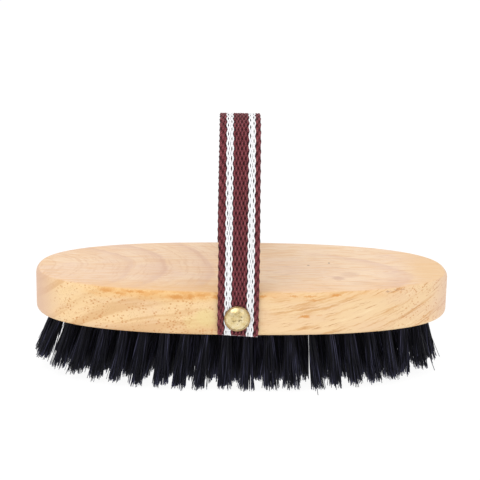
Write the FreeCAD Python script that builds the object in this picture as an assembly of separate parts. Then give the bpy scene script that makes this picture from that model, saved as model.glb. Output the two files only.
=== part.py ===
import FreeCAD, Part
import math
import os

from FreeCAD import Vector as V

os.makedirs("parts", exist_ok=True)

# ---------------------------------------------------------------------------
# Oval body brush: hardwood stock, staple-set bristle tufts in oval rings, and
# a webbing hand strap nailed to both long sides with brass dome nails.
# Millimetres. +X runs along the stock, +Y across it, +Z up.
# Origin: centre of the footprint, in the plane of the bristle tips.
# ---------------------------------------------------------------------------

# stock (the wooden block)
STOCK_L = 209.4          # overall length
STOCK_W = 98.0           # overall width
STOCK_T = 22.2           # thickness
STOCK_N = 2.43           # superellipse exponent of the outline
BRISTLE_OUT = 27.4       # bristle length below the stock
STOCK_Z0 = BRISTLE_OUT
STOCK_Z1 = STOCK_Z0 + STOCK_T
EDGE_TOP = 2.6           # edge rounding, top
EDGE_BOT = 3.4           # edge rounding, bottom

# tufts
HOLE_R = 2.2             # drilled blind holes
HOLE_DEPTH = 12.6
RING_INSETS = (8.0, 18.2, 28.4, 38.6)   # ring half axes below the stock's
RING_N = (2.43, 2.6, 2.9, 3.6)          # and their exponents
RING_COUNTS = (45, 39, 33, 27)          # tufts in each ring; six fewer each time staggers them
RING_END = 3.0           # the rings stop this much further short at the two ends
RING_SHIFT = -0.9        # and their middle lies this far along X
CENTRE_X = (-48.7, 52.3) # the centre row's first and last tufts
CENTRE_COUNT = 11
TUFT_R_ROOT = 1.75       # radius at the bottom of the hole
TUFT_R_TIP = 2.92        # radius at the trimmed tips
LEAN_X = 11.5            # greatest outward lean along X, degrees
LEAN_X_RUN = 42.0        # how fast the lean grows with x
LEAN_Y = 8.0             # outward lean of the outer rows across the stock
FLAT_HALF = 55.0         # tips are trimmed level within this |x|
END_RISE = 3.2           # tips at the two ends sit this much higher

# anchors: flat staple wire that holds each folded tuft in its hole
ANCHOR_L, ANCHOR_T, ANCHOR_H = 4.8, 0.5, 1.8

# strap
STRAP_X = -2.8           # strap centre at the crown, a little off the middle of the stock
STRAP_SKEW = 0.8         # the strap runs this many degrees off square to the stock
STRAP_W = 19.6
STRAP_T = 1.7
STRAP_GAP = 0.25         # between the strap and the side of the stock
STRAP_END_Z = 27.8       # cut ends, level with the lower edge of the stock
END_SKEW = 1.1           # the front end is cut this much askew over the width
STRAP_TOP_Z = 130.0      # highest point of the loop
CROWN_R = 17.0           # centreline radius of the bend at the top, front half
CROWN_R2 = 27.0          # and its back half, an easier bend
FRONT_KNEE_Z, FRONT_KNEE_R, FRONT_LEAN = 66.0, 58.0, 21.4
BACK_KNEE_Z, BACK_KNEE_R = 76.5, 53.0

# dome nails
NAIL_Z = STOCK_Z0 + 9.8  # nail axis
NAIL_X = -3.9
SHANK_R = 1.1
SHANK_IN = 14.0          # depth in the wood, between two tufts of the outer ring
PIN_CLEAR = 0.05         # strap hole over the shank
CAP_R = 6.2
CAP_H = 3.3
CAP_T = 0.6
CAP_GAP = 0.2            # between the cap's rim and the strap

HALF_L, HALF_W = STOCK_L / 2, STOCK_W / 2


def oval_point(t, half_l, half_w, n):
    """A point of a superellipse."""
    c, s = math.cos(t), math.sin(t)
    e = 2.0 / n
    return half_l * math.copysign(abs(c) ** e, c), half_w * math.copysign(abs(s) ** e, s)


def ring_points(inset, power, count):
    """Points spaced evenly round a ring inside the outline, from its +X end."""
    n = 4000
    raw = [oval_point(2 * math.pi * i / n, HALF_L - RING_END - inset, HALF_W - inset, power) for i in range(n + 1)]
    raw = [(x + RING_SHIFT, y) for x, y in raw]
    along = [0.0]
    for a, b in zip(raw, raw[1:]):
        along.append(along[-1] + math.hypot(b[0] - a[0], b[1] - a[1]))
    out, j = [], 0
    for k in range(count):
        s = k * along[-1] / count
        while along[j + 1] < s:
            j += 1
        u = (s - along[j]) / (along[j + 1] - along[j])
        a, b = raw[j], raw[j + 1]
        out.append((a[0] + u * (b[0] - a[0]), a[1] + u * (b[1] - a[1])))
    return out


def lean(x, y):
    """Unit vector down a tuft that is rooted at x, y."""
    tx = math.tan(math.radians(LEAN_X * math.tanh(x / LEAN_X_RUN)))
    ty = math.tan(math.radians(LEAN_Y * y / (HALF_W - RING_INSETS[0])))
    d = V(tx, ty, -1.0)
    return d.normalize()


def tip_z(x):
    """Height of the trimmed tips above the resting plane."""
    over = max(0.0, abs(x) - FLAT_HALF) / (HALF_L + 3.0 - FLAT_HALF)
    return END_RISE * over ** 1.5


def anchor(x, y, d):
    """Flat wire across the fold at the bottom of the hole at x, y."""
    seat = V(x, y, STOCK_Z0) - d * (HOLE_DEPTH - 0.9)
    plate = Part.makeBox(ANCHOR_L, ANCHOR_T, ANCHOR_H, V(-ANCHOR_L / 2, -ANCHOR_T / 2, 0))
    plate.Placement = FreeCAD.Placement(seat, FreeCAD.Rotation(V(0, 0, 1), d))
    return plate


# ---------------------------------------------------------------- tuft layout
ROWS = []
for i, inset in enumerate(RING_INSETS):
    ROWS.append(("ring_%d" % (i + 1), ring_points(inset, RING_N[i], RING_COUNTS[i])))
step = (CENTRE_X[1] - CENTRE_X[0]) / (CENTRE_COUNT - 1)
ROWS.append(("centre_row", [(CENTRE_X[0] + step * k, 0.0) for k in range(CENTRE_COUNT)]))

# ---------------------------------------------------------------------- stock
PTS = 72
spline = Part.BSplineCurve()
spline.interpolate([V(*oval_point(2 * math.pi * i / PTS + math.pi / PTS, HALF_L, HALF_W, STOCK_N), STOCK_Z0)
                    for i in range(PTS)], PeriodicFlag=True)
stock = Part.Face(Part.Wire([spline.toShape()])).extrude(V(0, 0, STOCK_T))
top_edges = [e for e in stock.Edges if e.BoundBox.ZMin > STOCK_Z1 - 0.01]
bot_edges = [e for e in stock.Edges if e.BoundBox.ZMax < STOCK_Z0 + 0.01]
stock = stock.makeFillet(EDGE_TOP, top_edges)
bot_edges = [e for e in stock.Edges if e.BoundBox.ZMax < STOCK_Z0 + 0.01]
stock = stock.makeFillet(EDGE_BOT, bot_edges)

drills = []
for name, points in ROWS:
    for x, y in points:
        d = lean(x, y)
        root = V(x, y, STOCK_Z0) - d * HOLE_DEPTH
        drills.append(Part.makeCylinder(HOLE_R, HOLE_DEPTH + 4.0, root, d))
        drills.append(anchor(x, y, d))
for side in (-1, 1):
    y0 = side * (HALF_W + 1.0)
    drills.append(Part.makeCylinder(SHANK_R, 1.0 + SHANK_IN, V(NAIL_X, y0, NAIL_Z), V(0, -side, 0)))
stock = stock.cut(drills)
assert len(stock.Solids) == 1, len(stock.Solids)
stock = stock.Solids[0]
stock.exportStep("parts/stock.step")

# ------------------------------------------------------------ tufts, anchors
for name, points in ROWS:
    tufts, anchors = [], []
    for x, y in points:
        d = lean(x, y)
        root = V(x, y, STOCK_Z0) - d * (HOLE_DEPTH - 0.2)
        reach = (HOLE_DEPTH - 0.2) + BRISTLE_OUT / abs(d.z)
        slope = (TUFT_R_TIP - TUFT_R_ROOT) / reach
        extra = 3.0
        cone = Part.makeCone(TUFT_R_ROOT, TUFT_R_ROOT + slope * (reach + extra), reach + extra, root, d)
        xt = x + d.x / abs(d.z) * BRISTLE_OUT
        trim = Part.makeBox(40, 40, 40, V(xt - 20, y - 20, tip_z(xt) - 40))
        plate = anchor(x, y, d)
        tufts.append(cone.cut([trim, plate]).Solids[0])
        anchors.append(plate)
    Part.makeCompound(tufts).exportStep("parts/tufts_%s.step" % name)
    Part.makeCompound(anchors).exportStep("parts/tuft_anchors_%s.step" % name)
    print(name, len(points), "tufts")

# ---------------------------------------------------------------------- strap
# Centreline in an upright plane: up the front side, over a tight crown, down to
# the back side. Straight runs joined by tangent arcs.
YC = HALF_W + STRAP_GAP + STRAP_T / 2
ZC = STRAP_TOP_Z - STRAP_T / 2 - CROWN_R
ZC2 = STRAP_TOP_Z - STRAP_T / 2 - CROWN_R2
a = math.radians(FRONT_LEAN)
crown_y = -YC + (CROWN_R + (ZC - FRONT_KNEE_Z) * math.sin(a)) / math.cos(a)
reach_y, reach_z = YC - crown_y, ZC2 - BACK_KNEE_Z
b = math.acos(CROWN_R2 / math.hypot(reach_y, reach_z)) - math.atan2(reach_z, reach_y)
print("crown centre y %.2f, back lean %.2f deg" % (crown_y, math.degrees(b)))


def strap_side(off):
    """The strap's path moved outwards by off, as a list of edges from the front end to the back end."""
    y = YC + off
    rf, rb, rc, rc2 = FRONT_KNEE_R + off, BACK_KNEE_R + off, CROWN_R + off, CROWN_R2 + off
    # front knee: centre is inside the loop
    tf = FRONT_KNEE_R * math.tan(a / 2)
    cf = V(0, -YC + FRONT_KNEE_R, FRONT_KNEE_Z - tf)
    tb = BACK_KNEE_R * math.tan(b / 2)
    cb = V(0, YC - BACK_KNEE_R, BACK_KNEE_Z - tb)
    cc, cc2 = V(0, crown_y, ZC), V(0, crown_y, ZC2)
    p0 = V(0, -y, STRAP_END_Z)
    p1 = cf + V(0, -rf, 0)
    p1m = cf + V(0, -rf * math.cos(a / 2), rf * math.sin(a / 2))
    p2 = cf + V(0, -rf * math.cos(a), rf * math.sin(a))
    p3 = cc + V(0, -rc * math.cos(a), rc * math.sin(a))
    mid = (a + math.pi / 2) / 2
    p3m = cc + V(0, -rc * math.cos(mid), rc * math.sin(mid))
    crest = cc + V(0, 0, rc)
    mid = (b + math.pi / 2) / 2
    p4m = cc2 + V(0, rc2 * math.cos(mid), rc2 * math.sin(mid))
    p4 = cc2 + V(0, rc2 * math.cos(b), rc2 * math.sin(b))
    p5 = cb + V(0, rb * math.cos(b), rb * math.sin(b))
    p5m = cb + V(0, rb * math.cos(b / 2), rb * math.sin(b / 2))
    p6 = cb + V(0, rb, 0)
    p7 = V(0, y, STRAP_END_Z)
    return [Part.LineSegment(p0, p1), Part.Arc(p1, p1m, p2), Part.LineSegment(p2, p3), Part.Arc(p3, p3m, crest),
            Part.Arc(crest, p4m, p4), Part.LineSegment(p4, p5), Part.Arc(p5, p5m, p6), Part.LineSegment(p6, p7)]


outer = strap_side(STRAP_T / 2)
inner = strap_side(-STRAP_T / 2)
middle = strap_side(0.0)
length = sum(e.length() for e in middle)
print("strap length %.1f mm" % length, "bends start at z %.1f %.1f" % (FRONT_KNEE_Z - FRONT_KNEE_R * math.tan(a / 2), BACK_KNEE_Z - BACK_KNEE_R * math.tan(b / 2)))
ends = [Part.LineSegment(outer[0].StartPoint, inner[0].StartPoint), Part.LineSegment(outer[-1].EndPoint, inner[-1].EndPoint)]
edges = [e.toShape() for e in outer + inner + ends]
wire = Part.Wire(Part.__sortEdges__(edges))
face = Part.Face(wire)
face.rotate(V(0, 0, 0), V(0, 0, 1), -STRAP_SKEW)
strap = face.extrude(V(STRAP_W, 0, 0))
strap.translate(V(STRAP_X - STRAP_W / 2, 0, 0))
for side in (-1, 1):
    strap = strap.cut(Part.makeCylinder(SHANK_R + PIN_CLEAR, 6.0, V(NAIL_X, side * (YC - 3.0), NAIL_Z), V(0, side, 0)))
# the front end is cut a little askew
x0, x1 = STRAP_X - STRAP_W / 2 - 2, STRAP_X + STRAP_W / 2 + 1
skew = Part.makePolygon([V(x0, 0, STRAP_END_Z - 3), V(x1, 0, STRAP_END_Z - 3), V(x1, 0, STRAP_END_Z),
                         V(x0, 0, STRAP_END_Z + END_SKEW), V(x0, 0, STRAP_END_Z - 3)])
strap = strap.cut(Part.Face(Part.Wire(skew)).extrude(V(0, -60, 0)))
assert len(strap.Solids) == 1, len(strap.Solids)
strap = strap.Solids[0]
strap.exportStep("parts/hand_strap.step")

# ---------------------------------------------------------------------- nails
for name, side in (("front", -1), ("back", 1)):
    face = HALF_W + STRAP_GAP + STRAP_T + CAP_GAP   # |y| of the cap's rim
    # spherical dome shell, open towards the wood
    R = (CAP_R ** 2 + CAP_H ** 2) / (2 * CAP_H)
    ball = Part.makeSphere(R, V(0, 0, CAP_H - R))
    hollow = Part.makeSphere(R - CAP_T, V(0, 0, CAP_H - R))
    keep = Part.makeCylinder(CAP_R + 1, CAP_H + 1, V(0, 0, 0))
    dome = ball.cut(hollow).common(keep)
    # turned-in bead at the rim
    bead = Part.makeTorus(CAP_R - 0.35, 0.45, V(0, 0, 0.45))
    dome = dome.fuse(bead).removeSplitter()
    # stud head plate under the dome, with the shank below it
    plate_r = 3.4
    z_plate = CAP_H - CAP_T - 0.9
    inner_r = math.sqrt(max(0.0, (R - CAP_T) ** 2 - (z_plate + 0.8 - (CAP_H - R)) ** 2))
    plate_r = min(plate_r, inner_r - 0.1)
    plate = Part.makeCylinder(plate_r, 0.8, V(0, 0, z_plate))
    shank_len = z_plate + CAP_GAP + STRAP_T + STRAP_GAP + SHANK_IN
    tip = 3.0
    shank = Part.makeCylinder(SHANK_R, shank_len - tip, V(0, 0, z_plate), V(0, 0, -1))
    point = Part.makeCone(SHANK_R, 0.15, tip, V(0, 0, z_plate - (shank_len - tip)), V(0, 0, -1))
    nail = plate.fuse([shank, point]).removeSplitter()
    # the dome is soldered to the plate by a small pad
    pad = Part.makeCylinder(1.6, CAP_H - CAP_T + 0.05 - (z_plate + 0.8), V(0, 0, z_plate + 0.8))
    pad = pad.cut(ball.cut(hollow))
    nail = nail.fuse(pad).removeSplitter()
    place = FreeCAD.Placement(V(NAIL_X, side * face, NAIL_Z), FreeCAD.Rotation(V(0, 0, 1), V(0, side, 0)))
    for what, shape in (("cap", dome), ("shank", nail)):
        shape = shape.Solids[0] if shape.ShapeType != "Solid" else shape
        shape.Placement = place
        shape.exportStep("parts/%s_nail_%s.step" % (name, what))
        print(name, what, shape.isValid(), round(shape.Volume, 2))

print("stock", stock.isValid(), round(stock.Volume / 1000, 2), "cm3;", "strap", strap.isValid(), round(strap.Volume / 1000, 2), "cm3")
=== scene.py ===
import bpy
import math
import numpy as np
from mathutils import Matrix, Vector


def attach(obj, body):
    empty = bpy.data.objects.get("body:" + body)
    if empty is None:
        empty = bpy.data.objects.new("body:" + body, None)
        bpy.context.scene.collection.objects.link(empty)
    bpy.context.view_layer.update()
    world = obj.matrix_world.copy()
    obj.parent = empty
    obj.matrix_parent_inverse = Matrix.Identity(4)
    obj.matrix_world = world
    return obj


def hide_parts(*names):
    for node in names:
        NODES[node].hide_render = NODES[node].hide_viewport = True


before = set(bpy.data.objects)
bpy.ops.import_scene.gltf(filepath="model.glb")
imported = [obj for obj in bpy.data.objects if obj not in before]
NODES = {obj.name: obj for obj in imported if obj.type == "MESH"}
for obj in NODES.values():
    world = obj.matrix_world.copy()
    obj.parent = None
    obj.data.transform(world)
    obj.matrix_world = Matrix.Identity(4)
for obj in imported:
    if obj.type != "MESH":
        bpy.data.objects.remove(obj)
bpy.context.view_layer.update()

MM = 0.001
RNG = np.random.default_rng(20417)


# ---------------------------------------------------------------- small helpers
def link(o):
    bpy.context.scene.collection.objects.link(o)
    return o


def mesh_piece(name, verts, faces, mat, smooth=True):
    """A mesh object from points in millimetres and faces given as an array or a list."""
    me = bpy.data.meshes.new(name)
    v = np.asarray(verts, np.float32) * MM
    if isinstance(faces, np.ndarray):
        n, k = faces.shape
        me.vertices.add(len(v))
        me.vertices.foreach_set("co", v.ravel())
        me.loops.add(n * k)
        me.loops.foreach_set("vertex_index", faces.astype(np.int32).ravel())
        me.polygons.add(n)
        me.polygons.foreach_set("loop_start", np.arange(0, n * k, k, dtype=np.int32))
        me.update(calc_edges=True)
    else:
        me.from_pydata([tuple(p) for p in v.tolist()], [], faces)
    me.validate()
    me.polygons.foreach_set("use_smooth", np.full(len(me.polygons), smooth))
    me.materials.append(mat)
    return link(bpy.data.objects.new(name, me))


def point_data(o, name, values):
    """Stores a vector per vertex for the materials to read."""
    a = o.data.attributes.new(name, "FLOAT_VECTOR", "POINT")
    a.data.foreach_set("vector", np.asarray(values, np.float32).ravel())


def tube(line, across, out, half_a, half_b, sides, closed_ends=True):
    """Sweeps an ellipse along a line. across and out are unit vectors at each point."""
    n = len(line)
    ang = np.arange(sides) * 2 * math.pi / sides
    ha = np.broadcast_to(np.asarray(half_a, float), (n,))[:, None, None]
    hb = np.broadcast_to(np.asarray(half_b, float), (n,))[:, None, None]
    ring = (line[:, None, :] + across[:, None, :] * np.cos(ang)[None, :, None] * ha
            + out[:, None, :] * np.sin(ang)[None, :, None] * hb)
    v = ring.reshape(-1, 3)
    i = np.arange(n - 1)[:, None] * sides
    j = np.arange(sides)[None, :]
    k = (j + 1) % sides
    f = np.stack([i + j, i + k, i + sides + k, i + sides + j], axis=-1).reshape(-1, 4)
    if closed_ends and sides == 8:
        q = [[0, 3, 2, 1], [0, 7, 4, 3], [7, 6, 5, 4]]
        cap = np.array([[0, 1, 2, 3], [0, 3, 4, 7], [4, 5, 6, 7]])
        f = np.concatenate([f, cap[:, ::-1], cap + (n - 1) * sides])
    if closed_ends and sides == 6:
        cap = np.array([[0, 1, 2, 3], [0, 3, 4, 5]])
        f = np.concatenate([f, cap[:, ::-1], cap + (n - 1) * sides])
    return v, f


def gather(parts):
    """Joins (verts, faces, data) triples."""
    v, f, d, at = [], [], [], 0
    for pv, pf, pd in parts:
        v.append(pv)
        f.append(pf + at)
        d.append(pd)
        at += len(pv)
    return np.concatenate(v), np.concatenate(f), np.concatenate(d)


# ------------------------------------------------------------ material helpers
class Mat:
    """A node material written from the back: m.node(kind, props...) returns a node."""

    def __init__(self, name):
        self.m = bpy.data.materials.new(name)
        self.m.use_nodes = True
        self.t = self.m.node_tree
        self.t.nodes.clear()
        self.out = self.t.nodes.new("ShaderNodeOutputMaterial")
        self.b = self.t.nodes.new("ShaderNodeBsdfPrincipled")
        self.t.links.new(self.b.outputs[0], self.out.inputs[0])

    def put(self, socket, value):
        if isinstance(value, bpy.types.NodeSocket):
            self.t.links.new(value, socket)
        elif value is not None:
            socket.default_value = value

    def node(self, kind, **props):
        n = self.t.nodes.new(kind)
        for k, v in props.items():
            setattr(n, k, v)
        return n

    def math(self, op, a, b=None, c=None, clamp=False):
        n = self.node("ShaderNodeMath", operation=op, use_clamp=clamp)
        for s, v in zip(n.inputs, (a, b, c)):
            self.put(s, v)
        return n.outputs[0]

    def vmath(self, op, a, b=None, scale=None):
        n = self.node("ShaderNodeVectorMath", operation=op)
        self.put(n.inputs[0], a)
        if b is not None:
            self.put(n.inputs[1], b)
        if scale is not None:
            self.put(n.inputs["Scale"], scale)
        return n.outputs["Value"] if op in ("LENGTH", "DOT_PRODUCT", "DISTANCE") else n.outputs[0]

    def split(self, v):
        n = self.node("ShaderNodeSeparateXYZ")
        self.put(n.inputs[0], v)
        return n.outputs

    def join(self, x, y, z):
        n = self.node("ShaderNodeCombineXYZ")
        for s, v in zip(n.inputs, (x, y, z)):
            self.put(s, v)
        return n.outputs[0]

    def noise(self, vector, scale, detail=2.0, rough=0.5, distortion=0.0, color=False):
        n = self.node("ShaderNodeTexNoise")
        self.put(n.inputs["Vector"], vector)
        n.inputs["Scale"].default_value = scale
        n.inputs["Detail"].default_value = detail
        n.inputs["Roughness"].default_value = rough
        n.inputs["Distortion"].default_value = distortion
        return n.outputs["Color" if color else "Fac"]

    def voronoi(self, vector, scale, feature="F1", out="Distance", randomness=1.0):
        n = self.node("ShaderNodeTexVoronoi", feature=feature)
        self.put(n.inputs["Vector"], vector)
        n.inputs["Scale"].default_value = scale
        n.inputs["Randomness"].default_value = randomness
        return n.outputs[out]

    def ramp(self, fac, stops, interp="LINEAR"):
        n = self.node("ShaderNodeValToRGB")
        n.color_ramp.interpolation = interp
        e = n.color_ramp.elements
        while len(e) > 1:
            e.remove(e[-1])
        for i, (p, c) in enumerate(stops):
            x = e[0] if i == 0 else e.new(p)
            x.position = p
            x.color = (*c, 1.0) if not isinstance(c, (int, float)) else (c, c, c, 1.0)
        self.put(n.inputs[0], fac)
        return n.outputs[0]

    def span(self, v, lo, hi, a=0.0, b=1.0, smooth=True):
        n = self.node("ShaderNodeMapRange", interpolation_type="SMOOTHSTEP" if smooth else "LINEAR", clamp=True)
        self.put(n.inputs["Value"], v)
        for k, x in zip(("From Min", "From Max", "To Min", "To Max"), (lo, hi, a, b)):
            n.inputs[k].default_value = x
        return n.outputs[0]

    def mix(self, fac, a, b, blend="MIX"):
        n = self.node("ShaderNodeMix", data_type="RGBA", blend_type=blend)
        self.put(n.inputs[0], fac)
        for s, v in ((n.inputs[6], a), (n.inputs[7], b)):
            self.put(s, (*v, 1.0) if isinstance(v, tuple) and len(v) == 3 else v)
        return n.outputs[2]

    def bump(self, height, strength, distance, normal=None):
        n = self.node("ShaderNodeBump")
        self.put(n.inputs["Height"], height)
        n.inputs["Strength"].default_value = strength
        n.inputs["Distance"].default_value = distance
        if normal is not None:
            self.put(n.inputs["Normal"], normal)
        return n.outputs[0]

    def obj(self):
        """The place on the object, in metres."""
        return self.node("ShaderNodeTexCoord").outputs["Object"]

    def attr(self, name):
        return self.node("ShaderNodeAttribute", attribute_name=name).outputs["Vector"]


def lin(r, g, b):
    """sRGB 0..255 to linear."""
    return tuple(((c / 255) / 12.92 if c / 255 <= 0.04045 else ((c / 255 + 0.055) / 1.055) ** 2.4) for c in (r, g, b))


# ------------------------------------------------------------------- materials
def wood_material():
    m = Mat("stock_wood")
    p = m.vmath("SCALE", m.obj(), scale=1000.0)          # millimetres
    wob = m.vmath("SUBTRACT", m.noise(p, 0.018, 3.0, 0.5, color=True), (0.5, 0.5, 0.5))
    pw = m.vmath("ADD", p, m.vmath("SCALE", wob, scale=15.0))
    x, y, z = m.split(p)
    wx, wy, wz = m.split(pw)
    ax = m.math("ABSOLUTE", x)
    fine = m.math("SUBTRACT", m.noise(p, 0.35, 4.0, 0.6), 0.5)

    def sq(v):
        return m.math("MULTIPLY", v, v)

    # 0 on the top face, 1 on the sides and below
    side = m.span(z, 49.50, 48.95)

    # ---- top: cathedral figure on the left, its arcs pointing right
    dx = m.math("ADD", wx, 125.0)
    dy = m.math("MULTIPLY", m.math("ADD", wy, 7.0), 1.27)
    ring = m.math("SQRT", m.math("ADD", sq(dx), sq(dy)))
    ring = m.math("MULTIPLY_ADD", fine, 3.5, ring)
    arcs = m.ramp(m.math("DIVIDE", ring, 200.0),
                  [(0.250, 0.05), (0.325, 0.35), (0.343, 0.78), (0.350, 0.16), (0.375, 0.12), (0.405, 0.42), (0.429, 0.90),
                   (0.436, 0.18), (0.480, 0.08), (0.525, 0.34), (0.549, 0.86), (0.556, 0.12), (0.640, 0.0)])
    arcs = m.math("MULTIPLY", arcs, m.span(x, 14.0, -8.0))
    # a vee on the right
    vee = m.math("SUBTRACT", 86.0, wx)
    vee = m.math("SUBTRACT", vee, m.math("MULTIPLY", sq(m.math("ADD", wy, 17.0)), 0.024))
    vee = m.math("MULTIPLY_ADD", fine, 5.0, vee)
    vee = m.math("MULTIPLY", m.span(vee, 0.0, 3.5), m.span(vee, 22.0, 2.0))
    vee = m.math("MULTIPLY", vee, m.span(x, 30.0, 60.0))

    # long grain that bends with the figure on the left
    bend = m.math("MULTIPLY", sq(m.math("ADD", wy, 7.0)), m.span(x, 0.0, -60.0, 0.0, 0.010))
    gx = m.math("ADD", wx, bend)
    gv = m.join(m.math("MULTIPLY", gx, 0.035), m.math("MULTIPLY", wy, 0.55), m.math("MULTIPLY", wz, 0.55))
    grain = m.noise(gv, 1.0, 5.0, 0.62)
    dv = m.join(m.math("MULTIPLY", x, 0.115), m.math("MULTIPLY", y, 1.45), m.math("MULTIPLY", z, 1.45))
    dash = m.span(m.noise(dv, 1.0, 3.0, 0.55), 0.56, 0.72)
    pore_on = m.span(m.noise(p, 0.045, 2.0), 0.38, 0.60)
    dash = m.math("MULTIPLY", dash, m.math("MULTIPLY_ADD", pore_on, 0.65, 0.30))
    dash = m.math("MULTIPLY", dash, m.span(x, -50.0, 10.0, 0.45, 1.0))

    top = m.mix(m.span(m.noise(p, 0.022, 2.0), 0.38, 0.66), lin(251, 222, 190), lin(247, 215, 186))
    top = m.mix(m.span(grain, 0.46, 0.60, 0.0, 0.80), top, lin(241, 199, 153))
    top = m.mix(m.span(grain, 0.45, 0.34, 0.0, 0.55), top, lin(233, 190, 162))
    # fine lines running with the arcs
    lines = m.noise(m.join(m.math("MULTIPLY", ring, 0.62), m.math("MULTIPLY", x, 0.016), m.math("MULTIPLY", y, 0.045)), 1.0, 3.0, 0.6)
    lines = m.math("MULTIPLY", m.span(lines, 0.50, 0.64), m.span(x, 20.0, -25.0, 0.0, 0.50))
    top = m.mix(lines, top, lin(232, 188, 146))
    top = m.mix(m.math("MULTIPLY", arcs, 0.60), top, lin(222, 180, 158))
    top = m.mix(m.math("MULTIPLY", vee, 0.36), top, lin(222, 178, 160))
    top = m.mix(m.math("MULTIPLY", dash, 0.72), top, lin(206, 156, 126))

    # warmer along the front edge
    warm = m.math("MULTIPLY", m.span(m.math("MULTIPLY_ADD", fine, 22.0, y), -24.0, -44.0), m.span(x, 40.0, -20.0, 0.25, 0.75))
    top = m.mix(warm, top, lin(242, 196, 142))
    warm = m.math("MULTIPLY", m.span(m.math("MULTIPLY_ADD", fine, 14.0, x), 76.0, 94.0), m.span(y, 38.0, 10.0, 0.2, 0.65))
    top = m.mix(warm, top, lin(242, 200, 146))

    # small marks at given places: (x, y or z, radii, strength)
    jag = m.vmath("MULTIPLY", m.vmath("SUBTRACT", m.noise(p, 0.60, 5.0, 0.75, color=True), (0.5, 0.5, 0.5)), (7.0, 7.0, 3.0))
    jx, jy, jz = m.split(m.vmath("ADD", p, jag))

    def blots(u, v, places):
        total = None
        for u0, v0, ru, rv, amount in places:
            d = m.math("ADD", sq(m.math("DIVIDE", m.math("SUBTRACT", u, u0), ru)),
                       sq(m.math("DIVIDE", m.math("SUBTRACT", v, v0), rv)))
            one = m.span(d, 1.5, 0.0, 0.0, amount)
            total = one if total is None else m.math("MAXIMUM", total, one)
        return total

    smudge = blots(jx, jy, [(46.9, -23.0, 3.2, 3.8, 0.50), (53.6, -16.0, 5.0, 5.5, 0.30), (58.0, -31.0, 6.5, 4.5, 0.16)])
    top = m.mix(smudge, top, lin(206, 162, 140))
    points = blots(x, y, [(45.0, 5.7, 0.55, 1.1, 0.85), (33.9, 0.8, 0.75, 1.0, 0.60)])
    top = m.mix(points, top, lin(150, 112, 92))

    # ---- sides
    base = m.mix(m.span(x, -70.0, 70.0), lin(248, 213, 162), lin(246, 213, 167))
    patch = m.noise(m.vmath("MULTIPLY", pw, (0.03, 0.03, 0.09)), 1.0, 3.0, 0.55)
    base = m.mix(m.span(patch, 0.38, 0.68, 0.0, 0.60), base, lin(240, 203, 166))
    # streaks follow the bent grain: level in the middle, climbing towards both ends
    rise = m.math("ADD", m.math("MULTIPLY", x, 0.08), m.math("MULTIPLY", sq(x), 0.0022))
    fall = m.math("SUBTRACT", m.math("MULTIPLY", x, 0.10), m.math("MULTIPLY", sq(sq(x)), 2.25e-7))
    lie = m.mix(m.span(x, -4.0, 4.0), m.join(fall, 0.0, 0.0), m.join(rise, 0.0, 0.0))
    lie = m.split(lie)[0]
    q = m.math("ADD", m.math("SUBTRACT", z, lie), m.math("MULTIPLY", fine, 1.6))
    sv = m.join(m.math("MULTIPLY", x, 0.040), m.math("MULTIPLY", y, 0.010), m.math("MULTIPLY", q, 0.46))
    streak = m.noise(sv, 1.0, 4.0, 0.62)
    on_right = m.span(x, -12.0, 30.0, 0.22, 1.0)
    base = m.mix(m.math("MULTIPLY", m.span(streak, 0.40, 0.24), m.math("MULTIPLY", on_right, 0.85)), base, lin(255, 230, 190))
    base = m.mix(m.math("MULTIPLY", m.span(streak, 0.50, 0.66), m.math("MULTIPLY", on_right, 0.78)), base, lin(222, 168, 108))
    hv = m.join(m.math("MULTIPLY", x, 0.075), m.math("MULTIPLY", y, 0.02), m.math("MULTIPLY", q, 1.25))
    hair = m.span(m.noise(hv, 1.0, 3.0, 0.60), 0.58, 0.70)
    base = m.mix(m.math("MULTIPLY", hair, m.math("MULTIPLY", on_right, 0.80)), base, lin(198, 134, 78))
    bandv = m.join(m.math("MULTIPLY", x, 0.012), m.math("MULTIPLY", y, 0.010), m.math("MULTIPLY", q, 0.16))
    band = m.noise(bandv, 1.0, 3.0, 0.55)
    to_left = m.span(x, 6.0, -30.0)
    base = m.mix(m.math("MULTIPLY", m.span(band, 0.50, 0.62), m.math("MULTIPLY", to_left, 0.66)), base, lin(224, 176, 122))
    base = m.mix(m.math("MULTIPLY", m.span(band, 0.46, 0.34), m.math("MULTIPLY", to_left, 0.60)), base, lin(250, 218, 172))
    # pore dots, strongest on the left and round the ends
    on_left = m.math("MULTIPLY", m.span(x, 20.0, -28.0, 0.06, 1.0), m.span(x, -98.0, -84.0, 0.35, 1.0))
    ends = m.math("MULTIPLY", m.span(x, 60.0, 86.0), 0.85)
    on_left = m.math("MAXIMUM", on_left, ends)
    dots = m.voronoi(m.vmath("MULTIPLY", p, (0.62, 0.62, 0.85)), 1.0)
    few = m.noise(p, 0.30, 2.0)
    dots = m.math("MULTIPLY", m.span(dots, 0.44, 0.14), m.span(few, 0.40, 0.56))
    grit = m.voronoi(m.vmath("MULTIPLY", p, (1.25, 1.25, 1.5)), 1.0)
    grit = m.math("MULTIPLY", m.span(grit, 0.40, 0.18), m.span(m.noise(p, 0.12, 2.0), 0.40, 0.62))
    base = m.mix(m.math("MULTIPLY", grit, m.math("MULTIPLY", on_left, 0.52)), base, lin(206, 160, 106))
    base = m.mix(m.math("MULTIPLY", dots, m.math("MULTIPLY", on_left, 0.80)), base, lin(206, 134, 72))
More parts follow.
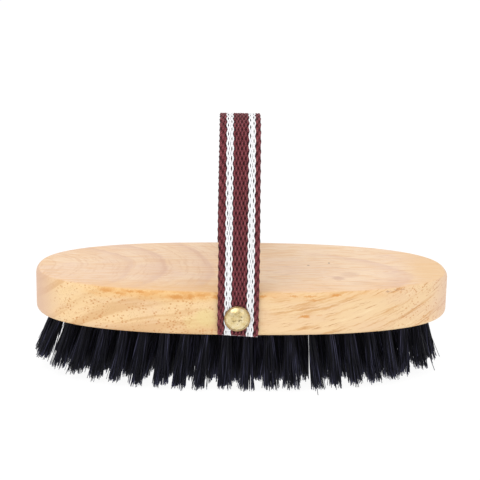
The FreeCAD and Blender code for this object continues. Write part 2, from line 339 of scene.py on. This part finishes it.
    # amber patches under the top edge, and a pin knot
    lower = m.math("MULTIPLY", m.span(z, 43.0, 47.5), m.span(ax, 84.0, 60.0))
    base = m.mix(m.math("MULTIPLY", lower, m.span(x, 20.0, -20.0, 0.22, 0.62)), base, lin(245, 194, 124))
    mottle = m.noise(m.join(m.math("MULTIPLY", jx, 0.16), m.math("MULTIPLY", y, 0.05), m.math("MULTIPLY", jz, 0.55)), 1.0, 3.0, 0.6)
    mottle = m.math("MULTIPLY", m.span(mottle, 0.47, 0.60), m.math("MULTIPLY", m.span(z, 43.5, 47.0), m.span(ax, 84.0, 66.0)))
    base = m.mix(m.math("MULTIPLY", mottle, m.span(x, 24.0, -10.0, 0.15, 0.62)), base, lin(234, 172, 100))
    amber = blots(jx, jz, [(-67.0, 47.9, 3.6, 0.9, 0.80), (-61.0, 47.0, 2.6, 0.7, 0.60), (-55.5, 48.2, 2.6, 0.6, 0.80),
                           (-50.5, 48.4, 2.0, 0.6, 0.80), (-44.0, 47.6, 1.6, 0.5, 0.50), (-32.5, 46.6, 3.6, 1.2, 0.85),
                           (-26.5, 46.9, 2.2, 1.4, 0.80), (-21.0, 47.9, 2.6, 0.6, 0.55), (-14.0, 47.0, 1.8, 0.8, 0.70),
                           (7.8, 47.6, 2.2, 0.6, 0.80), (13.5, 47.3, 1.8, 0.4, 0.40), (22.9, 47.7, 2.4, 0.45, 0.75),
                           (31.0, 47.5, 3.4, 0.5, 0.75), (32.6, 45.6, 4.0, 0.45, 0.70), (43.8, 47.8, 2.6, 0.55, 0.85),
                           (28.6, 37.6, 2.6, 0.9, 0.85), (36.0, 38.0, 1.8, 0.5, 0.35)])
    amber = m.math("MULTIPLY", amber, m.span(y, -18.0, -30.0))
    base = m.mix(amber, base, lin(222, 152, 78))
    dark = m.math("MULTIPLY", blots(jx, jz, [(69.3, 48.1, 1.6, 0.5, 0.65), (73.5, 48.4, 1.3, 0.4, 0.5), (77.0, 48.3, 1.0, 0.4, 0.45)]), m.span(y, -18.0, -30.0))
    base = m.mix(dark, base, lin(176, 132, 110))
    # a paler, greenish patch beside the strap
    pale = m.math("MULTIPLY", blots(jx, jz, [(-19.0, 36.5, 6.0, 5.0, 0.60), (-25.0, 34.0, 5.0, 4.0, 0.35)]), m.span(y, -18.0, -30.0))
    base = m.mix(pale, base, lin(240, 218, 152))
    # pinkish run-out at both ends
    base = m.mix(m.math("MULTIPLY", m.math("MULTIPLY", m.span(ax, 88.0, 103.0), m.span(x, -20.0, 20.0, 1.0, 0.62)), 0.80), base, m.mix(m.span(x, -20.0, 20.0), lin(222, 184, 160), lin(228, 194, 176)))

    color = m.mix(side, top, base)
    m.put(m.b.inputs["Base Color"], color)
    m.put(m.b.inputs["Roughness"], m.span(grain, 0.3, 0.7, 0.50, 0.62))
    m.b.inputs["Specular IOR Level"].default_value = 0.30
    pits = m.math("MAXIMUM", m.math("MULTIPLY", dash, 0.6), dots)
    h = m.math("ADD", m.math("MULTIPLY", grain, 0.30), m.math("MULTIPLY", pits, -0.8))
    m.put(m.b.inputs["Normal"], m.bump(h, 0.25, 0.00010))
    return m.m


def brass_material():
    m = Mat("nail_brass")
    p = m.obj()
    x, y, z = m.split(m.vmath("SCALE", p, scale=1000.0))
    worn = m.noise(p, 420.0, 4.0, 0.6)
    col = m.ramp(worn, [(0.28, lin(206, 180, 120)), (0.52, lin(232, 212, 164)), (0.80, lin(244, 232, 200))])
    # darker brown towards the rim
    rx = m.math("ADD", x, 3.9)
    rz = m.math("SUBTRACT", z, 37.2)
    r = m.math("SQRT", m.math("ADD", m.math("MULTIPLY", rx, rx), m.math("MULTIPLY", rz, rz)))
    r = m.math("ADD", r, m.math("MULTIPLY", m.math("SUBTRACT", m.noise(p, 700.0, 2.0), 0.5), 1.1))
    col = m.mix(m.span(r, 5.1, 6.1, 0.0, 0.72), col, lin(126, 84, 38))
    # painted dark reflection near the middle of the dome, broken up by noise
    dark_reflection_mask = m.noise(m.vmath("MULTIPLY", p, (620.0, 620.0, 900.0)), 1.0, 3.0, 0.7)
    dark_reflection_mask = m.math("MULTIPLY", m.span(dark_reflection_mask, 0.52, 0.59), m.span(m.math("ADD", r, m.math("MULTIPLY", rz, -0.35)), 3.4, 1.6))
    col = m.mix(m.math("MULTIPLY", dark_reflection_mask, 0.82), col, lin(104, 80, 44))
    m.put(m.b.inputs["Base Color"], col)
    m.b.inputs["Metallic"].default_value = 1.0
    m.put(m.b.inputs["Roughness"], m.span(m.noise(p, 900.0, 3.0, 0.6), 0.35, 0.70, 0.20, 0.36))
    scratch = m.noise(m.vmath("MULTIPLY", p, (5000.0, 700.0, 700.0)), 1.0, 2.0)
    m.put(m.b.inputs["Normal"], m.bump(scratch, 0.06, 0.0001, m.bump(m.noise(p, 260.0, 1.0), 0.5, 0.0006)))
    return m.m


def steel_material():
    m = Mat("nail_steel")
    p = m.obj()
    n = m.noise(m.vmath("MULTIPLY", p, (2400.0, 300.0, 2400.0)), 1.0, 3.0)
    m.put(m.b.inputs["Base Color"], m.ramp(n, [(0.3, lin(150, 150, 152)), (0.7, lin(205, 205, 208))]))
    m.b.inputs["Metallic"].default_value = 1.0
    m.put(m.b.inputs["Roughness"], m.span(n, 0.3, 0.7, 0.28, 0.45))
    m.put(m.b.inputs["Normal"], m.bump(n, 0.1, 0.00005))
    return m.m


def yarn_material(name, dark, mid, light, fuzz):
    """Spun cotton. The yarn attribute holds (run along, turn about, which yarn), lift how far it stands up, the crown
    of each float and the face; the crown paints a highlight.
    """
    m = Mat(name)
    s, t, w = m.split(m.attr("yarn"))
    lift, crown, face = m.split(m.attr("lift"))
    # plies twisted round the yarn
    twist = m.math("SINE", m.math("ADD", m.math("MULTIPLY", s, 5.2), m.math("MULTIPLY", t, 2.0)))
    v = m.join(m.math("MULTIPLY", s, 0.9), m.math("MULTIPLY", t, 2.2), m.math("MULTIPLY", w, 7.3))
    fib = m.noise(v, 1.6, 4.0, 0.65)
    tone = m.noise(m.join(m.math("MULTIPLY", s, 0.05), w, 0.0), 3.0, 1.0)
    k = m.math("ADD", m.math("MULTIPLY", fib, 0.50), m.math("MULTIPLY", twist, 0.06))
    k = m.math("ADD", k, m.math("MULTIPLY", m.math("SUBTRACT", tone, 0.5), 0.30))
    # painted highlight and shade: lighter toward the crown of each float, darker where it dips under the weft
    k = m.math("ADD", k, m.math("MULTIPLY", m.span(crown, 0.15, 1.0), 0.26))
    m.put(m.b.inputs["Base Color"], m.ramp(k, [(0.20, dark), (0.42, mid), (0.66, light)]))
    m.put(m.b.inputs["Roughness"], m.span(fib, 0.3, 0.7, 0.78, 0.92))
    m.b.inputs["Specular IOR Level"].default_value = 0.22
    m.b.inputs["Sheen Weight"].default_value = fuzz
    m.b.inputs["Sheen Roughness"].default_value = 0.5
    h = m.math("ADD", m.math("MULTIPLY", twist, 0.5), fib)
    m.put(m.b.inputs["Normal"], m.bump(h, 0.55, 0.00012))
    return m.m


def bristle_material():
    m = Mat("bristle")
    a = m.attr("hair")
    t, i, r = m.split(a)
    tone = m.noise(m.join(m.math("MULTIPLY", i, 37.0), m.math("MULTIPLY", t, 1.5), r), 1.0, 1.0)
    tip = m.span(t, 0.90, 1.0)
    k = m.math("ADD", tone, m.math("MULTIPLY", tip, 0.12))
    m.put(m.b.inputs["Base Color"], m.ramp(k, [(0.30, lin(9, 9, 13)), (0.55, lin(24, 24, 35)), (0.74, lin(76, 76, 102))]))
    m.put(m.b.inputs["Roughness"], m.span(tone, 0.3, 0.7, 0.42, 0.60))
    m.b.inputs["Specular IOR Level"].default_value = 0.19
    return m.m


def seal_material():
    m = Mat("strap_seal")
    p = m.obj()
    n = m.noise(p, 1500.0, 3.0)
    m.put(m.b.inputs["Base Color"], m.ramp(n, [(0.3, lin(120, 92, 98)), (0.7, lin(205, 196, 198))]))
    m.put(m.b.inputs["Roughness"], m.span(n, 0.3, 0.7, 0.4, 0.6))
    m.put(m.b.inputs["Normal"], m.bump(n, 0.5, 0.0002))
    return m.m


WOOD = wood_material()
BRASS = brass_material()
STEEL = steel_material()
BURGUNDY = yarn_material("strap_burgundy", lin(52, 13, 19), lin(107, 44, 50), lin(158, 86, 93), 0.10)
WHITE = yarn_material("strap_white", lin(244, 244, 250), lin(254, 254, 255), lin(255, 255, 255), 0.60)
# the weft and the core ends get a darker copy of the burgundy: painted shade for the gaps between the floats
SHADED_WEFT = yarn_material("strap_weft", lin(42, 14, 20), lin(66, 26, 33), lin(92, 46, 52), 0.05)
HAIR = bristle_material()
SEAL = seal_material()

for n, o in NODES.items():
    mat = WOOD if n == "stock" else BRASS if n.endswith("_cap") else STEEL
    o.data.materials.clear()
    o.data.materials.append(mat)

# ----------------------------------------------------------------------- strap
STRAP_X, SKEW = -2.8, math.tan(math.radians(0.8))
STRAP_W, STRAP_T = 19.6, 1.7
HALF_W_STOCK = 49.0
YC = HALF_W_STOCK + 0.25 + STRAP_T / 2
END_Z, TOP_Z = 27.8, 130.0
CROWN_R, CROWN_R2 = 17.0, 27.0
KF_Z, KF_R, LEAN = 66.0, 58.0, math.radians(21.4)
KB_Z, KB_R = 76.5, 53.0
NAIL_X, NAIL_Z = -3.9, 37.2
END_SKEW = 1.1


def strap_route():
    """The strap's middle line as runs: ("line", start, end) or ("arc", centre, radius, from, to)."""
    zc, zc2 = TOP_Z - STRAP_T / 2 - CROWN_R, TOP_Z - STRAP_T / 2 - CROWN_R2
    a = LEAN
    cy = -YC + (CROWN_R + (zc - KF_Z) * math.sin(a)) / math.cos(a)
    ry, rz = YC - cy, zc2 - KB_Z
    b = math.acos(CROWN_R2 / math.hypot(ry, rz)) - math.atan2(rz, ry)
    zf, zb = KF_Z - KF_R * math.tan(a / 2), KB_Z - KB_R * math.tan(b / 2)
    cf, cb, cc, cc2 = (-YC + KF_R, zf), (YC - KB_R, zb), (cy, zc), (cy, zc2)

    def on(c, r, t):
        return (c[0] + r * math.cos(t), c[1] + r * math.sin(t))

    pi = math.pi
    return [("line", (-YC, END_Z), (-YC, zf)), ("arc", cf, KF_R, pi, pi - a),
            ("line", on(cf, KF_R, pi - a), on(cc, CROWN_R, pi - a)), ("arc", cc, CROWN_R, pi - a, pi / 2),
            ("arc", cc2, CROWN_R2, pi / 2, b), ("line", on(cc2, CROWN_R2, b), on(cb, KB_R, b)),
            ("arc", cb, KB_R, b, 0.0), ("line", (YC, zb), (YC, END_Z))]


ROUTE = strap_route()
LENS = [math.dist(r[1], r[2]) if r[0] == "line" else r[2] * abs(r[4] - r[3]) for r in ROUTE]
STARTS = np.concatenate([[0], np.cumsum(LENS)])
LENGTH = STARTS[-1]
XAXIS = np.array([1.0, 0.0, 0.0])
EDGE = STRAP_W / 2


def on_strap(s, w, n):
    """Points at s along the strap, w across it and n out of its middle face, with the vectors out and along."""
    s = np.asarray(s, float)
    w, n = np.broadcast_to(w, s.shape), np.broadcast_to(n, s.shape)
    y, z, ny, nz = (np.zeros_like(s) for _ in range(4))
    at = np.clip(np.searchsorted(STARTS, s, side="right") - 1, 0, len(ROUTE) - 1)
    for i, r in enumerate(ROUTE):
        k = at == i
        u = (s[k] - STARTS[i]) / LENS[i]
        if r[0] == "line":
            d = np.subtract(r[2], r[1]) / LENS[i]
            y[k], z[k] = (r[1][j] + u * (r[2][j] - r[1][j]) for j in (0, 1))
            ny[k], nz[k] = -d[1], d[0]
        else:
            t = r[3] + u * (r[4] - r[3])
            ny[k], nz[k] = np.cos(t), np.sin(t)
            y[k], z[k] = r[1][0] + r[2] * ny[k], r[1][1] + r[2] * nz[k]
    pts = np.stack([STRAP_X + w + SKEW * (y + n * ny), y + n * ny, z + n * nz], -1)
    out = np.stack([np.zeros_like(s), ny, nz], -1)
    along = np.stack([np.zeros_like(s), nz, -ny], -1)
    return pts, out, along


def past_nails(s, w):
    """The weft passes above or below the two shanks."""
    for s0, y in ((NAIL_Z - END_Z, -YC), (LENGTH - (NAIL_Z - END_Z), YC)):
        ds, dw = s - s0, w - (NAIL_X - STRAP_X - SKEW * y)
        s = s0 + np.where(ds >= 0, 1.0, -1.0) * np.sqrt(ds ** 2 + 1.85 ** 2 * np.exp(-(dw / 1.6) ** 2))
    return s


def around_nails(s, w, room=1.75):
    """Yarns part round the two shanks."""
    for s0, y in ((NAIL_Z - END_Z, -YC), (LENGTH - (NAIL_Z - END_Z), YC)):
        w0 = NAIL_X - STRAP_X - SKEW * y
        ds, dw = s - s0, w - w0
        sign = np.where(dw >= 0, 1.0, -1.0)
        w = w0 + sign * np.sqrt(dw ** 2 + room ** 2 * np.exp(-(ds / 2.2) ** 2))
    return w


REPEAT = 4.8                     # the weave repeats every two wefts
STEPS = 12                       # points in each repeat


def warp(w0, phase, face, half_w, half_n, low, high, narrow, index, ply=0.0, inner=0.0, outer=0.0, slant=0.0):
    """One warp end on one face. It floats at height high and dips to low once in each repeat."""
    s0 = END_SKEW * (0.5 - w0 / STRAP_W) + RNG.uniform(0.0, 0.15)
    s1 = LENGTH - RNG.uniform(0.0, 0.15)
    s = np.linspace(s0, s1, int((s1 - s0) / REPEAT * STEPS))
    u = (s / REPEAT + phase) % 1.0
    d = np.minimum(u, 1.0 - u)
    dip = np.exp(-(d / narrow) ** 2)
    crown = np.sin(math.pi * u)
    lift = (1.0 - dip) * (0.72 + 0.28 * crown)
    fray = np.clip(np.exp(-(s - s0) / 0.9) + np.exp(-(s1 - s) / 0.9), 0, 1)
    wob = 0.045 * np.sin(s / 7.3 + index * 2.1) + 0.035 * np.sin(s / 3.1 + index)
    w = w0 + wob + ply * (inner + (outer - inner) * crown ** 2) + slant * (u - 0.5) * (1.0 - dip)
    w = np.clip(around_nails(s, w), -EDGE + half_w, EDGE - half_w)
    nn = face * (low + (high - low) * lift) * (1.0 - 0.30 * fray)
    size = 1.0 + 0.05 * np.sin(s / 5.0 + index * 1.7)
    pts, out, along = on_strap(s, w, nn)
    step = np.gradient(pts, axis=0)
    step /= np.linalg.norm(step, axis=1)[:, None]
    across = XAXIS - step * step[:, :1]
    across /= np.linalg.norm(across, axis=1)[:, None]
    up = np.cross(across, step)
    v, f = tube(pts, across, up, half_w * size * (0.84 + 0.16 * crown), half_n * size, 8)
    data = np.stack([np.repeat(s, 8), np.tile(np.arange(8) * 2 * math.pi / 8, len(s)), np.full(len(v), float(index))], -1)
    lifted = np.stack([np.repeat(lift, 8), np.repeat(crown, 8), np.full(len(v), float(face))], -1)
    return v, f, np.concatenate([data, lifted], -1)


# widths across the strap: selvage, white, middle, white, selvage
LEFT_SELV, STRIPE, RIGHT_SELV = 3.15, 3.50, 2.35
MIDDLE = STRAP_W - LEFT_SELV - RIGHT_SELV - 2 * STRIPE
MID_AT = (-EDGE + LEFT_SELV + STRIPE, -EDGE + LEFT_SELV + STRIPE + MIDDLE)
sel, mid, white = [], [], []
k = 0
for face in (1, -1):
    turned = 0.0 if face > 0 else 0.5
    for j in range(3):
        pitch = LEFT_SELV / 3
        sel.append(warp(-EDGE + pitch * (j + 0.5), turned + j / 3, face, pitch * 0.56, 0.31, 0.08, 0.53, 0.15, k, slant=0.55))
        k += 1
    for j in range(2):
        pitch = RIGHT_SELV / 2
        sel.append(warp(EDGE - pitch * (j + 0.5), turned + 0.5 * j, face, pitch * 0.54, 0.31, 0.08, 0.53, 0.15, k, slant=0.40))
        k += 1
    for j in range(8):
        pitch = MIDDLE / 8
        mid.append(warp(MID_AT[0] + pitch * (j + 0.5), turned + 0.5 * (j % 2), face, pitch * 0.53, 0.30, 0.02, 0.54, 0.19, k))
        k += 1
    for i, centre in enumerate((MID_AT[0] - STRIPE / 2, MID_AT[1] + STRIPE / 2)):
        for col in (-1, 1):
            for ply in (-1, 1):
                phase = turned + (0.5 if col > 0 else 0.0) + 0.22 * i
                white.append(warp(centre + col * 0.81, phase, face, 0.41, 0.30, 0.36, 0.56, 0.11, k,
                                  ply=ply, inner=0.20, outer=0.63))
                k += 1

# the weft, one thread back and forth
S, W_, N_ = [], [], []
half = EDGE - 0.62
rows = int((LENGTH - 1.6) / (REPEAT / 2))
for r in range(rows):
    s0 = REPEAT / 2 * (r + 1)
    sgn = 1 if r % 2 == 0 else -1
    w = np.linspace(-half, half, 56)
    n = -0.15 * np.cos(math.pi * (w - MID_AT[0] - MIDDLE / 16) / (MIDDLE / 8)) * (1 if r % 2 == 0 else -1)
    n = n * np.where((w > MID_AT[0]) & (w < MID_AT[1]), 1.0, 0.3)
    S.append(np.full(56, s0)); W_.append(w * sgn); N_.append(n[::sgn])
    if r < rows - 1:
        t = np.linspace(-math.pi / 2, math.pi / 2, 12)[1:-1]
        S.append(s0 + REPEAT / 4 + np.sin(t) * REPEAT / 4)
        W_.append(sgn * (half + np.cos(t) * 0.42)); N_.append(np.full(len(t), 0.0))
S, W_, N_ = np.concatenate(S), np.concatenate(W_), np.concatenate(N_)
S = past_nails(S, W_)
pts, out, along = on_strap(S, W_, N_)
step = np.gradient(pts, axis=0)
step /= np.linalg.norm(step, axis=1)[:, None]
across = np.cross(out, step)
across /= np.linalg.norm(across, axis=1)[:, None]
v, f = tube(pts, across, out, 0.42, 0.26, 8)
run = np.concatenate([[0], np.cumsum(np.linalg.norm(np.diff(pts, axis=0), axis=1))])
zeros = np.zeros((len(v), 3))
weft = (v, f, np.concatenate([np.stack([np.repeat(run, 8), np.tile(np.arange(8) * 2 * math.pi / 8, len(run)),
                                        np.full(len(v), 40.0)], -1), zeros], -1))
# straight ends that lie between the two faces, in the dark weft colour as painted shade seen through the gaps
core = []
for j in range(16):
    w0 = -EDGE + 0.9 + (STRAP_W - 1.8) * (j + 0.5) / 16
    s = np.linspace(1.3, LENGTH - 0.3, 420)
    w = np.clip(around_nails(s, np.full(len(s), w0), 2.05), -EDGE + 0.9, EDGE - 0.9)
    pts, out, along = on_strap(s, w, 0.05 * math.sin(j * 2.4))
    v, f = tube(pts, np.broadcast_to(XAXIS, pts.shape), out, 0.64, 0.13, 8)
    core.append((v, f, np.concatenate([np.stack([np.repeat(s, 8), np.tile(np.arange(8) * 2 * math.pi / 8, len(s)),
                                                 np.full(len(v), 60.0 + j)], -1), np.zeros((len(v), 3))], -1)))
strap_pieces = []
for name, parts, mat in (("strap_warp_selvage", sel, BURGUNDY), ("strap_warp_middle", mid, BURGUNDY),
                         ("strap_warp_white", white, WHITE), ("strap_weft", [weft], SHADED_WEFT), ("strap_core_ends", core, SHADED_WEFT)):
    V_, F_, D_ = gather(parts)
    o = mesh_piece(name, V_, F_, mat)
    point_data(o, "yarn", D_[:, :3])
    point_data(o, "lift", D_[:, 3:])
    strap_pieces.append(o)

# heat-sealed ends: a thin, slightly lumpy line of fused yarn
for name, at_front in (("strap_seal_front", True), ("strap_seal_back", False)):
    w = np.linspace(-EDGE + 0.25, EDGE - 0.25, 70)
    s = 0.12 + END_SKEW * (0.5 - w / STRAP_W) if at_front else np.full(len(w), LENGTH - 0.12)
    pts, out, along = on_strap(s, w, 0.0)
    lump = 1 + 0.22 * np.sin(w * 3.1) * np.sin(w * 1.3 + 1)
    v, f = tube(pts, along, out, 0.20 * lump, 0.56 * lump, 8)
    strap_pieces.append(mesh_piece(name, v, f, SEAL))
for o in strap_pieces:
    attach(o, "strap")
    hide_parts("hand_strap")

# -------------------------------------------------------------------- bristles
HALF_L, HALF_W = 104.7, 49.0
Z0 = 27.4
RING_INSETS, RING_N, RING_COUNTS = (8.0, 18.2, 28.4, 38.6), (2.43, 2.6, 2.9, 3.6), (45, 39, 33, 27)
RING_END, RING_SHIFT = 3.0, -0.9
CENTRE_X, CENTRE_COUNT = (-48.7, 52.3), 11
LEAN_X, LEAN_X_RUN, LEAN_Y = 11.5, 42.0, 8.0
FLAT_HALF, END_RISE = 55.0, 3.2


def ring_points(inset, power, count):
    n = 4000
    t = 2 * math.pi * np.arange(n + 1) / n
    c, s, e = np.cos(t), np.sin(t), 2.0 / power
    raw = np.stack([RING_SHIFT + (HALF_L - RING_END - inset) * np.copysign(np.abs(c) ** e, c), (HALF_W - inset) * np.copysign(np.abs(s) ** e, s)], -1)
    along = np.concatenate([[0], np.cumsum(np.hypot(*np.diff(raw, axis=0).T))])
    at = np.arange(count) * along[-1] / count
    return np.stack([np.interp(at, along, raw[:, 0]), np.interp(at, along, raw[:, 1])], -1)


groups = [("ring_%d" % (i + 1), ring_points(a, RING_N[i], RING_COUNTS[i])) for i, a in enumerate(RING_INSETS)]
groups.append(("centre_row", np.stack([np.linspace(*CENTRE_X, CENTRE_COUNT), np.zeros(CENTRE_COUNT)], -1)))
FIBRES = 120
PARTING = (35.743, 0.06938, -0.06674)    # the fibres stand apart along x = a + b y + c z
LEVELS = np.array([0.0, 0.30, 0.64, 1.0])


def tufts(points, salt):
    rng = np.random.default_rng(salt)
    verts, faces, data, base = [], [], [], 0
    n, lv = FIBRES, len(LEVELS)
    for x, y in points:
        tx = math.tan(math.radians(LEAN_X * math.tanh(x / LEAN_X_RUN)))
        ty = math.tan(math.radians(LEAN_Y * y / (HALF_W - RING_INSETS[0])))
        # this tuft's own small lean, length and spread; the left end splays more than the right
        at_left, at_right = np.clip((-x - 62) / 30, 0, 1), np.clip((x - 62) / 30, 0, 1)
        tx += rng.normal(0, 0.036) * (1 - 0.65 * at_left) - 0.17 * at_left - 0.01 * at_right
        ty += rng.normal(0, 0.020)
        grow = rng.normal(0, 0.70) + 1.0 * np.clip((x - 50) / 30, 0, 1) + 2.2 * at_left
        flare = rng.uniform(1.55, 2.16) + 0.22 * at_left
        r = 1.98 * np.sqrt(rng.random(n))
        a = rng.random(n) * 2 * math.pi
        ro = np.stack([r * np.cos(a), r * np.sin(a)], -1)
        tip = ro * flare + rng.normal(0, 0.48, (n, 2))
        stray = rng.random(n) < 0.055
        tip[stray] += rng.normal(0, 1.7, (stray.sum(), 2))
        if x > 84 and abs(y) < 24:                # a few loose hairs at this end
            tip[:4, 0] += rng.uniform(2.5, 6.5, 4)
        bow = rng.normal(0, 0.30, (n, 2))
        xt = x + tx * Z0 + tip[:, 0]
        over = np.clip(np.abs(xt) - FLAT_HALF, 0, None) / 53.0
        ztip = np.maximum(END_RISE * over ** 1.5 + grow + rng.normal(0, 0.95, n) + 0.7, -0.9)
        short = rng.random(n) < 0.20
        ztip[short] += rng.uniform(0.8, 4.2, short.sum())
        top = Z0 + 3.0
        t = LEVELS[None, :]
        zz = top + (ztip[:, None] - top) * t
        drop = (Z0 - zz) / Z0                     # 0 at the mouth, about 1 at the tips
        dd = np.clip(drop, 0, None)
        off = ro[:, None, :] + (tip - ro)[:, None, :] * (dd ** 1.05)[..., None] + bow[:, None, :] * np.sin(math.pi * t)[..., None]
        line = np.stack([x + tx * Z0 * drop + off[..., 0], y + ty * Z0 * drop + off[..., 1], zz], -1)
        # all on one side of the parting
        away = 1.0 if x + 0.5 * tx * Z0 > PARTING[0] + PARTING[1] * y + 0.5 * PARTING[2] * Z0 else -1.0
        off_by = away * (line[..., 0] - PARTING[0] - PARTING[1] * line[..., 1] - PARTING[2] * line[..., 2])
        room = np.interp(t, LEVELS, (0.36, 0.28, 0.16, 0.55)) + 0.6 * rng.random((n, 1)) ** 2
        line[..., 0] += away * (np.maximum(off_by, room) - off_by)
        rad = (0.215 * (1 - 0.14 * t)) * rng.uniform(0.82, 1.12, (n, 1))
        spin = rng.random(n)[:, None, None] * 2 * math.pi + np.arange(3)[None, None, :] * 2 * math.pi / 3
        spin = np.broadcast_to(spin, (n, lv, 3))
        ring = line[:, :, None, :] + np.stack([np.cos(spin) * rad[..., None], np.sin(spin) * rad[..., None], 0 * spin], -1)
        verts.append(ring.reshape(-1, 3))
        i = (np.arange(n)[:, None, None] * lv + np.arange(lv - 1)[None, :, None]) * 3 + base
        j = np.arange(3)[None, None, :]
        k2 = (j + 1) % 3
        faces.append(np.stack([i + j, i + 3 + j, i + 3 + k2, i + k2], -1).reshape(-1, 4))
        ids = rng.random(n)
        data.append(np.stack([np.broadcast_to(t[..., None], (n, lv, 3)), np.broadcast_to(ids[:, None, None], (n, lv, 3)),
                              np.full((n, lv, 3), rng.random() * 9)], -1).reshape(-1, 3))
        base += n * lv * 3
    v, f, d = np.concatenate(verts), np.concatenate(faces), np.concatenate(data)
    tri = np.arange(len(v)).reshape(-1, lv, 3)[:, -1, ::-1]
    return v, f, tri, d


for i, (name, points) in enumerate(groups):
    v, f, tri, d = tufts(points, 311 + i)
    o = mesh_piece("bristles_" + name, v, f.tolist() + tri.tolist(), HAIR)
    point_data(o, "hair", d)
    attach(o, "brush")
    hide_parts("tufts_" + name)

# --------------------------------------------------------------- floor, lights
floor_mesh = bpy.data.meshes.new("floor")
fs = 4.0
floor_mesh.from_pydata([(-fs, -fs, -0.0012), (fs, -fs, -0.0012), (fs, fs, -0.0012), (-fs, fs, -0.0012)], [], [(0, 1, 2, 3)])
floor = link(bpy.data.objects.new("floor", floor_mesh))
fm = Mat("floor")
fm.b.inputs["Base Color"].default_value = (0.12, 0.12, 0.12, 1)
fm.b.inputs["Roughness"].default_value = 1.0
fm.b.inputs["Specular IOR Level"].default_value = 0.0
fm.b.inputs["Emission Color"].default_value = (1, 1, 1, 1)
fm.b.inputs["Emission Strength"].default_value = 0.93
floor_mesh.materials.append(fm.m)

world = bpy.data.worlds.new("studio")
bpy.context.scene.world = world
world.use_nodes = True
world.node_tree.nodes["Background"].inputs[0].default_value = (1.0, 1.0, 1.0, 1)
world.node_tree.nodes["Background"].inputs[1].default_value = 0.86


def area(name, place, target, size, power, size_y=None):
    d = bpy.data.lights.new(name, "AREA")
    d.shape = "RECTANGLE"
    d.size, d.size_y = size, size_y or size
    d.energy = power
    o = link(bpy.data.objects.new(name, d))
    o.location = place
    o.rotation_euler = (Vector(target) - Vector(place)).to_track_quat("-Z", "Y").to_euler()
    return o


area("key", (-0.35, -0.40, 1.05), (0, 0, 0.04), 0.7, 2.6)
area("fill", (0.7, -0.8, 0.6), (0, 0, 0.05), 0.6, 0.5)

# ---------------------------------------------------------------------- camera
ELEV, YAW, ROLL, DIST = math.radians(16.2), math.radians(2.2), math.radians(1.1), 0.686
PIX = 1334.0
centre = Vector((0.0, 0.0, 0.0388))
back = Vector((-math.cos(ELEV) * math.sin(YAW), -math.cos(ELEV) * math.cos(YAW), math.sin(ELEV)))
cam_data = bpy.data.cameras.new("camera")
cam_data.sensor_width = 36.0
cam_data.lens = PIX / 480 * 36.0
cam_data.clip_start, cam_data.clip_end = 0.01, 20.0
cam = link(bpy.data.objects.new("camera", cam_data))
look = -back
right = look.cross(Vector((0, 0, 1))).normalized()
up = right.cross(look)
# the block sits a little right of and well below the middle of the frame
rot = Matrix((right, up, -look)).transposed()
rot = rot @ Matrix.Rotation(ROLL, 3, "Z")
rot = rot @ Matrix.Rotation(math.atan(45.5 / PIX), 3, "X") @ Matrix.Rotation(math.atan(2.0 / PIX), 3, "Y")
cam.matrix_world = Matrix.Translation(centre + back * DIST) @ rot.to_4x4()
bpy.context.scene.camera = cam
bpy.context.scene.view_settings.view_transform = "Standard"

bpy.context.view_layer.update()
